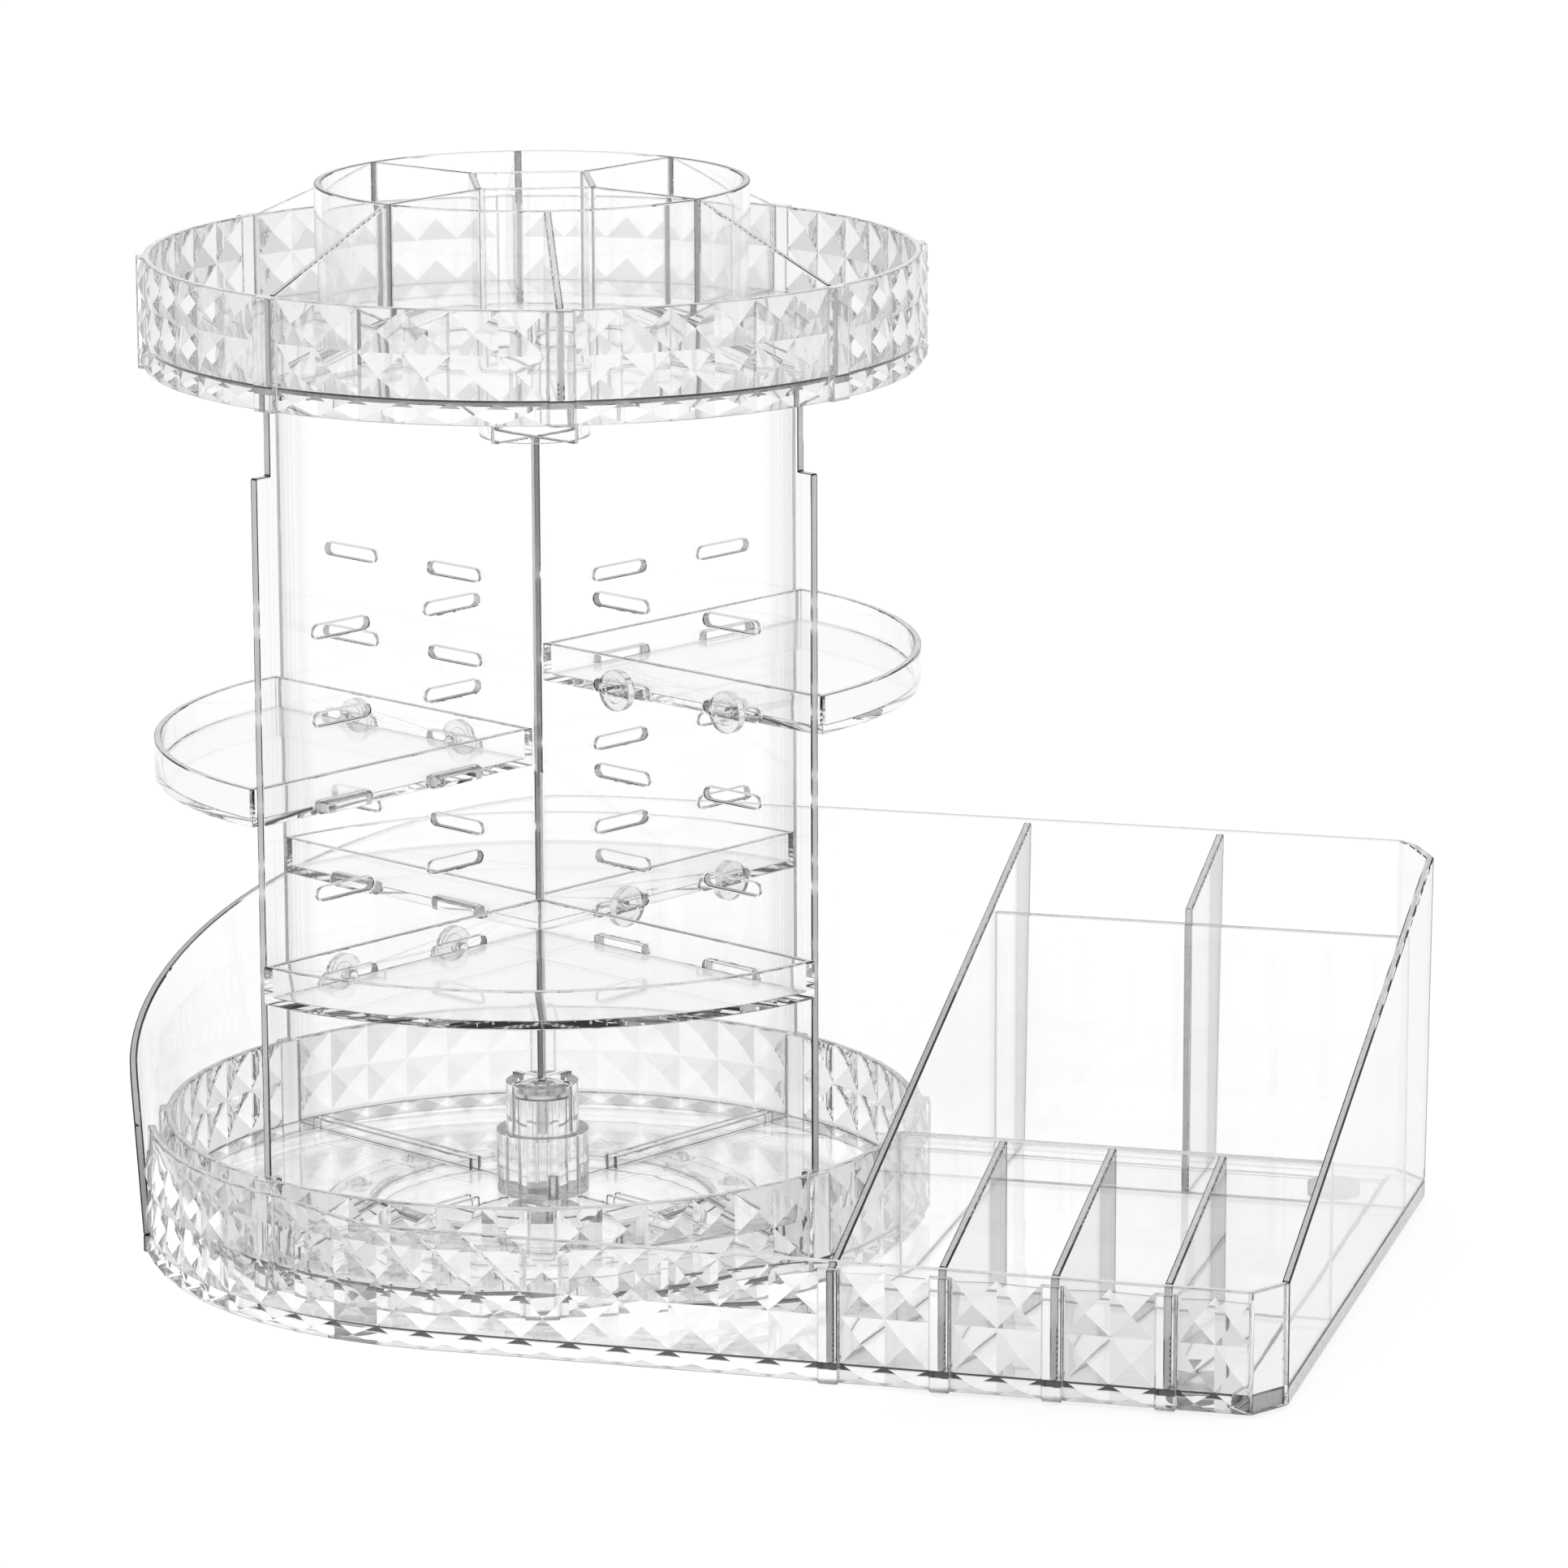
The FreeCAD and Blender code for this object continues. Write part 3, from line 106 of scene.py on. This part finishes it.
def spread(tree, socket, low, high, start=NOISE_LOW, end=NOISE_HIGH):
    """Go from low to high as the socket goes from start to end. A noise mostly lies between the defaults."""
    step = put(tree, "ShaderNodeMapRange")
    step.inputs["From Min"].default_value = start
    step.inputs["From Max"].default_value = end
    step.inputs["To Min"].default_value = low
    step.inputs["To Max"].default_value = high
    tree.links.new(socket, step.inputs["Value"])
    return step.outputs["Result"]


def bump(tree, shader, socket, distance):
    node = put(tree, "ShaderNodeBump")
    node.inputs["Strength"].default_value = 1.0
    node.inputs["Distance"].default_value = distance
    tree.links.new(socket, node.inputs["Height"])
    tree.links.new(node.outputs["Normal"], shader.inputs["Normal"])


def off_axis(tree):
    """Distance from the turning axis."""
    place = put(tree, "ShaderNodeTexCoord")
    offset = put(tree, "ShaderNodeVectorMath", operation="SUBTRACT")
    offset.inputs[1].default_value = axis
    flat = put(tree, "ShaderNodeVectorMath", operation="MULTIPLY")
    flat.inputs[1].default_value = (1.0, 1.0, 0.0)
    away = put(tree, "ShaderNodeVectorMath", operation="LENGTH")
    tree.links.new(place.outputs["Object"], offset.inputs[0])
    tree.links.new(offset.outputs["Vector"], flat.inputs[0])
    tree.links.new(flat.outputs["Vector"], away.inputs[0])
    return away.outputs["Value"]


def to_back(tree):
    """Place along the frame's Y axis."""
    place = put(tree, "ShaderNodeTexCoord")
    split = put(tree, "ShaderNodeSeparateXYZ")
    tree.links.new(place.outputs["Object"], split.inputs["Vector"])
    return split.outputs["Y"]


# Clear plastic

PLASTIC_IOR = 1.49
HAZE_SCALE, HAZE_DETAIL = 26.0, 4.0
WAVE_DETAIL = 2.0

# Each surface: lowest and highest roughness, size and depth of the flow waves, and their stretch
UPRIGHT = (1.0, 1.0, 0.25)
MOULDED_SURFACE = ((0.0, 0.03), 34.0, 0.00012, (1.0, 1.0, 0.4))
FACET_SURFACE = ((0.0, 0.03), 60.0, 0.00008, EVEN)
SHEET_SURFACE = ((0.0, 0.02), 18.0, 0.00006, UPRIGHT)
DIVIDER_SURFACE = ((0.0, 0.02), 24.0, 0.00006, UPRIGHT)
SMALL_SURFACE = ((0.02, 0.08), 160.0, 0.00004, EVEN)
CORNER_SURFACE = ((0.02, 0.08), 90.0, 0.00003, EVEN)

# Tones over Layer Weight's Facing, which is 0 face on and 1 at a glance: painted shade, the plastic's colour
# greys at a glance
SHEET_GLANCE_SHADE = ((0.2, 1.0), (0.8, 0.86), (0.95, 0.55))
DIVIDER_GLANCE_SHADE = ((0.2, 1.0), (0.7, 0.84), (0.95, 0.45))


def clear_plastic(name, surface, glance_shade):
    """Polished clear moulding: faint flow waves, a little haze in patches, and painted shade that greys its
    colour at glancing edges.
    """
    haze_range, wave_scale, wave_depth, stretch = surface
    material, tree, shader = new_material(name)
    shader.inputs["Transmission Weight"].default_value = 1.0
    shader.inputs["IOR"].default_value = PLASTIC_IOR
    glance = put(tree, "ShaderNodeLayerWeight")
    rim = put(tree, "ShaderNodeValToRGB")
    rim.color_ramp.elements.new(0.5)
    for element, (angle, tone) in zip(rim.color_ramp.elements, glance_shade):
        element.position = angle
        element.color = (tone, tone, tone, 1.0)
    tree.links.new(glance.outputs["Facing"], rim.inputs["Fac"])
    tree.links.new(rim.outputs["Color"], shader.inputs["Base Color"])
    haze = noise(tree, HAZE_SCALE, HAZE_DETAIL)
    tree.links.new(spread(tree, haze, *haze_range), shader.inputs["Roughness"])
    bump(tree, shader, noise(tree, wave_scale, WAVE_DETAIL, stretch), wave_depth)
    return material


moulded = clear_plastic("clear_moulded", MOULDED_SURFACE, ((0.0, 1.0), (0.82, 1.0), (0.95, 0.5)))
facets = clear_plastic("clear_facets", FACET_SURFACE, ((0.06, 1.0), (0.25, 0.82), (0.95, 0.58)))
# Painted shade: a lit copy for the low facets, and a darker copy below it that shades some of them
base_facets = clear_plastic("clear_base_facets", FACET_SURFACE, ((0.06, 1.0), (0.25, 0.95), (0.95, 0.84)))
shaded_facets = clear_plastic("clear_shaded_facets", FACET_SURFACE, ((0.04, 1.0), (0.2, 0.6), (0.95, 0.64)))
sheet = clear_plastic("clear_sheet", SHEET_SURFACE, SHEET_GLANCE_SHADE)
board = clear_plastic("clear_board", SHEET_SURFACE, SHEET_GLANCE_SHADE)
side = clear_plastic("clear_side", SHEET_SURFACE, SHEET_GLANCE_SHADE)
divider = clear_plastic("clear_divider", DIVIDER_SURFACE, DIVIDER_GLANCE_SHADE)
bay_divider = clear_plastic("clear_bay_divider", DIVIDER_SURFACE, DIVIDER_GLANCE_SHADE)
small = clear_plastic("clear_small", SMALL_SURFACE, ((0.0, 1.0), (0.8, 1.0), (0.95, 0.6)))
thumb = clear_plastic("clear_thumb", SMALL_SURFACE, ((0.0, 0.94), (0.5, 0.78), (0.95, 0.45)))
# Painted shade along eased edges: the bevels take these greyer copies of the clear plastic, near white on the
# boards, grey on most pieces and dark grey on the tray rims, box walls and dividers
pale_corner = clear_plastic("clear_pale_corner", CORNER_SURFACE, ((0.0, 1.0), (0.2, 1.0), (0.95, 0.9)))
corner = clear_plastic("clear_corner", CORNER_SURFACE, ((0.0, 0.86), (0.2, 0.86), (0.95, 0.52)))
dark_corner_shade = clear_plastic("clear_dark_corner_shade", CORNER_SURFACE, ((0.0, 0.6), (0.2, 0.6), (0.95, 0.28)))


# Grey bands in the ends of boards and box walls

STREAK_SCALE = 420.0
BAND_FADE = 0.0005
BOARD_BAND_START = 0.0995
BOX_BAND_LENGTH = 0.02
BAY_BAND_LENGTH = 0.022


def shade_end(material, measure, start, darkest, palest):
    """Upright grey streaks in the end of a wall, where its measure is past the start."""
    tree = material.node_tree
    colour = tree.nodes["Principled BSDF"].inputs["Base Color"]
    clear_tone = colour.links[0].from_socket
    along = measure(tree)
    streaks = put(tree, "ShaderNodeTexNoise", noise_dimensions="1D")
    streaks.inputs["Scale"].default_value = STREAK_SCALE
    tree.links.new(along, streaks.inputs["W"])
    band = put(tree, "ShaderNodeMix")
    band.inputs["A"].default_value = 1.0
    tree.links.new(spread(tree, along, 0.0, 1.0, start, start + BAND_FADE), band.inputs["Factor"])
    tree.links.new(spread(tree, streaks.outputs["Fac"], darkest, palest), band.inputs["B"])
    both = put(tree, "ShaderNodeMath", operation="MULTIPLY")
    tree.links.new(clear_tone, both.inputs[0])
    tree.links.new(band.outputs["Result"], both.inputs[1])
    tree.links.new(both.outputs["Value"], colour)


def back_of(name):
    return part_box(name)[1][1]


shade_end(board, off_axis, BOARD_BAND_START, 0.86, 0.98)
shade_end(side, to_back, back_of("box_left_wall") - BOX_BAND_LENGTH, 0.57, 0.78)
shade_end(divider, to_back, back_of("box_back_divider") - BOX_BAND_LENGTH, 0.57, 0.78)
shade_end(bay_divider, to_back, back_of("box_front_divider_1") - BAY_BAND_LENGTH, 0.46, 0.72)


# Milky edges, steel and rubber

def grained(name, grain, dark, pale, roughness, depth):
    """A material whose colour, roughness and height follow one grain."""
    material, tree, shader = new_material(name)
    height = noise(tree, *grain)
    tint = put(tree, "ShaderNodeValToRGB")
    for element, place, colour in zip(tint.color_ramp.elements, (NOISE_LOW, NOISE_HIGH), (dark, pale)):
        element.position = place
        element.color = (*colour, 1.0)
    tree.links.new(height, tint.inputs["Fac"])
    tree.links.new(tint.outputs["Color"], shader.inputs["Base Color"])
    tree.links.new(spread(tree, height, *roughness), shader.inputs["Roughness"])
    bump(tree, shader, height, depth)
    return material, shader


def moulded_edge():
    """The narrow edges of clear walls: less polished than their faces, so they look pale and milky."""
    material, shader = grained("clear_edge", (420.0, 4.0, (1.0, 1.0, 0.2)), (0.905, 0.905, 0.905),
                               (0.985, 0.985, 0.985), (0.18, 0.4), 0.00005)
    shader.inputs["Transmission Weight"].default_value = 0.4
    shader.inputs["IOR"].default_value = PLASTIC_IOR
    return material


def zinc_steel():
    material, shader = grained("zinc_steel", (900.0, 4.0), (0.74, 0.74, 0.75), (0.84, 0.84, 0.85),
                               (0.22, 0.4), 0.00003)
    shader.inputs["Metallic"].default_value = 1.0
    return material


def soft_rubber():
    material, shader = grained("soft_rubber", (1400.0, 5.0), (0.86, 0.87, 0.88), (0.93, 0.94, 0.95),
                               (0.5, 0.7), 0.00005)
    shader.inputs["Transmission Weight"].default_value = 0.75
    return material


edge = moulded_edge()
steel = zinc_steel()
rubber = soft_rubber()


# Which piece has which finish: those not named here are plain mouldings

SHELVES = ("shelf_front", "shelf_left", "shelf_rear", "shelf_right")
BOARDS = ("cross_panel_a", "cross_panel_b")
CROSS_WALLS = ("box_back_cross_wall", "box_front_cross_wall")
BAY_DIVIDERS = ("box_front_divider_1", "box_front_divider_2", "box_front_divider_3")
TOP_WALLS = ("top_ring", "top_ring_walls", "top_outer_walls", "top_square_tube")
LOW_FACETS = ("bottom_tray_rim", "base_front_wall")
SMALL = ("hub", "spindle", "bearing_cage", "bearing_balls", "top_collar", "race_ribs")
STEEL = ("spindle_washer", "spindle_screw", "spindle_foot_screw", "hub_screws")
FINE = ("shelf_screws", *SMALL)
DARK_SHADE_CORNERS = ("top_tray_rim", *LOW_FACETS, "box_left_wall", "box_back_divider", *CROSS_WALLS, *BAY_DIVIDERS)
TOUCHING = ("hub", "base_feet", *BOARDS)
finishes = {
    "top_tray_rim": facets, "tall_wall": sheet, "box_left_wall": side, "box_back_divider": divider,
    "shelf_screws": thumb, "base_feet": rubber,
    **dict.fromkeys((*SHELVES, *CROSS_WALLS, *TOP_WALLS), sheet),
    **dict.fromkeys(BOARDS, board),
    **dict.fromkeys(BAY_DIVIDERS, bay_divider),
    **dict.fromkeys(LOW_FACETS, base_facets),
    **dict.fromkeys(SMALL, small),
    **dict.fromkeys(STEEL, steel),
}


# Faces with a material other than their piece's

DEEP = 0.008
SKIN = 1e-5
EDGE_SLOT, CORNER_SLOT, FACET_SLOT = 1, 2, 3


def narrow_faces(mesh):
    """The flats across a wall's thickness: behind most of each, the plastic is several millimetres deep."""
    corners = [vertex.co for vertex in mesh.vertices]
    solid = BVHTree.FromPolygons(corners, [tuple(face.vertices) for face in mesh.polygons])
    flats = {}
    for face in mesh.polygons:
        inward = -face.normal
        depth = solid.ray_cast(face.center + inward * SKIN, inward)[3]
        plane = (*(round(value, 2) for value in face.normal), round(face.center.dot(face.normal), 5))
        flat = flats.setdefault(plane, [[], 0.0])
        flat[0].append(face)
        flat[1] += face.area if depth is not None and depth > DEEP else -face.area
    return [face for faces, balance in flats.values() if balance > 0.0 for face in faces]


def outward(face):
    """How far a face looks away from the turning axis: 1 straight out, -1 straight in."""
    return face.normal.to_2d().dot((face.center - axis).to_2d().normalized())


def is_level(face):
    return abs(face.normal.z) > 0.9


def is_left_end(face):
    """On the round end of the tall wall, past the turning axis."""
    return face.center.x < axis.x and abs(outward(face)) < 0.75


def is_outer_facet(face):
    return outward(face) > 0.3


def is_bay_facet(face):
    """On the front of the box, but not on its cut corner."""
    return face.center.x > box_start and face.normal.y < -0.3 and face.normal.x < 0.5


def mark(faces, slot):
    for face in faces:
        face.material_index = slot


def dress(name, mesh):
    """Give a piece its materials, and say whether it is clear."""
    finish = finishes.get(name, moulded)
    clear = finish not in (steel, rubber)
    mesh.materials.clear()
    mesh.materials.append(finish)
    if clear:
        mesh.materials.append(edge)
        # The bevels' copy carries painted shade: dark grey on the tray rims, box walls and dividers, near
        # white on the boards, grey elsewhere
        mesh.materials.append(dark_corner_shade if name in DARK_SHADE_CORNERS else
                              pale_corner if name in BOARDS else corner)
    if name == "hub":
        mark(filter(is_level, narrow_faces(mesh)), EDGE_SLOT)
    elif clear and name not in FINE:
        mark(narrow_faces(mesh), EDGE_SLOT)
    if name == "tall_wall":
        mark(filter(is_left_end, mesh.polygons), EDGE_SLOT)
    # Painted shade: the outward facets of the bottom tray rim and the front facets of the box take the darker
    # copy
    if name in LOW_FACETS:
        mesh.materials.append(shaded_facets)
        in_contrast = is_outer_facet if name == "bottom_tray_rim" else is_bay_facet
        mark(filter(in_contrast, mesh.polygons), FACET_SLOT)
    return clear


# Every piece keeps its shape, with its sharp edges eased as moulded plastic's are

WELD_DISTANCE = 2e-6
GAP = 0.00004
FLAT_ANGLE = math.radians(0.4)
SHARP_ANGLE = math.radians(50)
SMOOTH_ANGLE = math.radians(16)
FINE_EASE, SHELF_EASE, WALL_EASE = 0.00012, 0.0004, 0.0005
EASE_SEGMENTS = 2
OWN_MATERIAL = -1


def smooth_by_angle(limit):
    """A modifier group that shades smooth over edges flatter than the limit."""
    group = bpy.data.node_groups.new("smooth_by_angle", "GeometryNodeTree")
    group.interface.new_socket("Geometry", in_out="INPUT", socket_type="NodeSocketGeometry")
    group.interface.new_socket("Geometry", in_out="OUTPUT", socket_type="NodeSocketGeometry")
    start = group.nodes.new("NodeGroupInput")
    end = group.nodes.new("NodeGroupOutput")
    faces = group.nodes.new("GeometryNodeSetShadeSmooth")
    edges = group.nodes.new("GeometryNodeSetShadeSmooth")
    edges.domain = "EDGE"
    angle = group.nodes.new("GeometryNodeInputMeshEdgeAngle")
    flatter = group.nodes.new("FunctionNodeCompare")
    flatter.operation = "LESS_THAN"
    flatter.inputs["B"].default_value = limit
    group.links.new(start.outputs["Geometry"], faces.inputs["Geometry"])
    group.links.new(faces.outputs["Geometry"], edges.inputs["Geometry"])
    group.links.new(angle.outputs["Unsigned Angle"], flatter.inputs["A"])
    group.links.new(flatter.outputs["Result"], edges.inputs["Shade Smooth"])
    group.links.new(edges.outputs["Geometry"], end.inputs["Geometry"])
    return group


smooth_group = smooth_by_angle(SMOOTH_ANGLE)


def ease_edges(name, piece, clear):
    weld = piece.modifiers.new("weld", "WELD")
    weld.merge_threshold = WELD_DISTANCE
    if name in TOUCHING:
        # Two clear solids that share a face render black there
        gap = piece.modifiers.new("gap", "DISPLACE")
        gap.mid_level = 0.0
        gap.strength = -GAP
    if name not in SHELVES:
        flat = piece.modifiers.new("flat", "DECIMATE")
        flat.decimate_type = "DISSOLVE"
        flat.angle_limit = FLAT_ANGLE
    ease = piece.modifiers.new("ease", "BEVEL")
    ease.width = FINE_EASE if name in FINE or not clear else SHELF_EASE if name in SHELVES else WALL_EASE
    ease.segments = EASE_SEGMENTS
    ease.limit_method = "ANGLE"
    ease.angle_limit = SHARP_ANGLE
    ease.use_clamp_overlap = name in STEEL or name in FINE
    ease.material = CORNER_SLOT if clear else OWN_MATERIAL
    shade = piece.modifiers.new("shade", "NODES")
    shade.node_group = smooth_group
    even = piece.modifiers.new("even", "WEIGHTED_NORMAL")
    even.keep_sharp = True


for name, piece in nodes.items():
    ease_edges(name, piece, dress(name, piece.data))


# Floor and soft light

FLOOR_HALF = 14.0
FLOOR_ROUGHNESS = 0.9
PAPER_LIT, PAPER_SEEN = 0.8, 0.25
# Painted light: the floor as seen glows brighter near the turning axis, under the part, than farther out
GLOW_NEAR, GLOW_FAR = 1.0, 0.8
GLOW_START, GLOW_END = 0.14, 0.2
WHITE = (1.0, 1.0, 1.0, 1.0)
STUDIO_LOW = (0.1, 0.82)
STUDIO_HIGH = (0.95, 0.7)
STUDIO_BETWEEN = ((0.18, 1.0), (0.28, 1.0), (0.45, 0.46))


def looked_at(tree):
    """1 for rays from the camera, straight, mirrored or through the plastic, and 0 for diffuse light."""
    path = put(tree, "ShaderNodeLightPath")
    straight = put(tree, "ShaderNodeMath", operation="ADD", use_clamp=True)
    through = put(tree, "ShaderNodeMath", operation="ADD", use_clamp=True)
    first = put(tree, "ShaderNodeMath", operation="LESS_THAN")
    both = put(tree, "ShaderNodeMath", operation="MULTIPLY")
    first.inputs[1].default_value = 0.5
    tree.links.new(path.outputs["Is Camera Ray"], straight.inputs[0])
    tree.links.new(path.outputs["Is Glossy Ray"], straight.inputs[1])
    tree.links.new(straight.outputs["Value"], through.inputs[0])
    tree.links.new(path.outputs["Is Transmission Ray"], through.inputs[1])
    tree.links.new(path.outputs["Diffuse Depth"], first.inputs[0])
    tree.links.new(through.outputs["Value"], both.inputs[0])
    tree.links.new(first.outputs["Value"], both.inputs[1])
    return both.outputs["Value"]


def floor_material():
    """White to the camera and in the plastic, with the part's own faint shadow on it, and a painted pool of
    light that makes it brighter near the turning axis, under the part.
    """
    material, tree, shader = new_material("floor_white")
    shader.inputs["Roughness"].default_value = FLOOR_ROUGHNESS
    shader.inputs["Specular IOR Level"].default_value = 0.0
    seen = looked_at(tree)
    tree.links.new(spread(tree, seen, PAPER_LIT, PAPER_SEEN, 0.0, 1.0), shader.inputs["Base Color"])
    glow = put(tree, "ShaderNodeMath", operation="MULTIPLY")
    tree.links.new(seen, glow.inputs[0])
    tree.links.new(spread(tree, off_axis(tree), GLOW_NEAR, GLOW_FAR, GLOW_START, GLOW_END), glow.inputs[1])
    shader.inputs["Emission Color"].default_value = WHITE
    tree.links.new(glow.outputs["Value"], shader.inputs["Emission Strength"])
    return material


floor_mesh = bpy.data.meshes.new("floor")
floor_corners = [(x * FLOOR_HALF, y * FLOOR_HALF, 0) for x, y in ((-1, -1), (1, -1), (1, 1), (-1, 1))]
floor_mesh.from_pydata(floor_corners, [], [(0, 1, 2, 3)])
floor = bpy.data.objects.new("floor", floor_mesh)
floor.data.materials.append(floor_material())
scene.collection.objects.link(floor)


def grey(tone):
    return (tone, tone, tone, 1.0)


def studio_world():
    """Even white light on diffuse surfaces, and grey and white bands for what the plastic shows."""
    world = bpy.data.worlds.new("studio")
    world.use_nodes = True
    sky = world.node_tree
    sky.nodes.clear()
    where = put(sky, "ShaderNodeTexCoord")
    split = put(sky, "ShaderNodeSeparateXYZ")
    sky.links.new(where.outputs["Generated"], split.inputs["Vector"])
    bands = put(sky, "ShaderNodeValToRGB")
    for element, (height, tone) in zip(bands.color_ramp.elements, (STUDIO_LOW, STUDIO_HIGH)):
        element.position = height
        element.color = grey(tone)
    for height, tone in STUDIO_BETWEEN:
        bands.color_ramp.elements.new(height).color = grey(tone)
    sky.links.new(split.outputs["Z"], bands.inputs["Fac"])
    soft = put(sky, "ShaderNodeBackground")
    soft.inputs["Color"].default_value = WHITE
    soft.inputs["Strength"].default_value = 1.0
    studio = put(sky, "ShaderNodeBackground")
    sky.links.new(bands.outputs["Color"], studio.inputs["Color"])
    pick = put(sky, "ShaderNodeMixShader")
    sky.links.new(looked_at(sky), pick.inputs["Fac"])
    sky.links.new(soft.outputs["Background"], pick.inputs[1])
    sky.links.new(studio.outputs["Background"], pick.inputs[2])
    out = put(sky, "ShaderNodeOutputWorld")
    sky.links.new(pick.outputs["Shader"], out.inputs["Surface"])
    return world


scene.world = studio_world()
